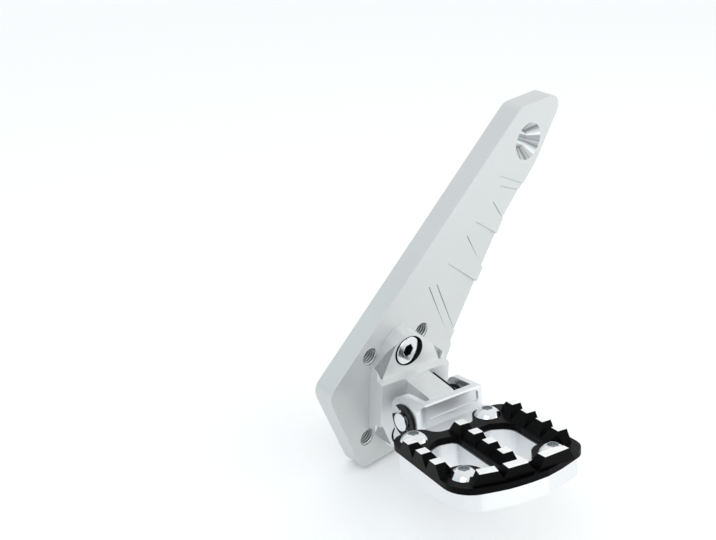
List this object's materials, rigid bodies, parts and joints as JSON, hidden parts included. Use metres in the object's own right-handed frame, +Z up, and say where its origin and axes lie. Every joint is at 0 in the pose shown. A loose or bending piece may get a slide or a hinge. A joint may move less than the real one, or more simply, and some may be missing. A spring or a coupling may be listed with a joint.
{
  "type": "motorcycle footpeg",
  "caption": "Folding rider footpeg with black toothed tread, on a milled silver bracket plate for the right-hand side",
  "frame": {"origin": "middle of the six tapped holes, on the inner face of the bracket plate that bears on the motorcycle", "axes": "X runs along the bolt rows towards the side the long arm leans to, -Y points outward to the rider's boot, Z is up"},
  "size_m": [0.1548, 0.1102, 0.15],
  "materials": {
    "anodised_silver": "satin clear anodised, fine bead-blasted grain",
    "tread_black": "black anodised, tooth tops worn bright",
    "stainless": "polished stainless steel",
    "spring_black": "black phosphated spring steel"
  },
  "bodies": {
    "bracket": {"bracket_plate": "anodised_silver", "mount_block": "anodised_silver", "block_screw_upper": "stainless", "block_screw_lower": "stainless", "return_spring": "spring_black"},
    "peg": {"peg_body": "anodised_silver", "tread_plate": "tread_black", "tread_screw_1": "stainless", "tread_screw_2": "stainless", "tread_screw_3": "stainless", "tread_screw_4": "stainless", "hinge_pin": "stainless", "pin_clip": "spring_black"}
  },
  "joints": [
    {"name": "peg_fold", "type": "hinge", "parent": "bracket", "child": "peg", "pos_m": [-0.00001, -0.03599, 0.001], "axis": [-0.9848, 0.1736, 0], "range_deg": [0, 75], "stiffness_Nm_per_rad": 0.12, "springref_deg": -40.11}
  ]
}
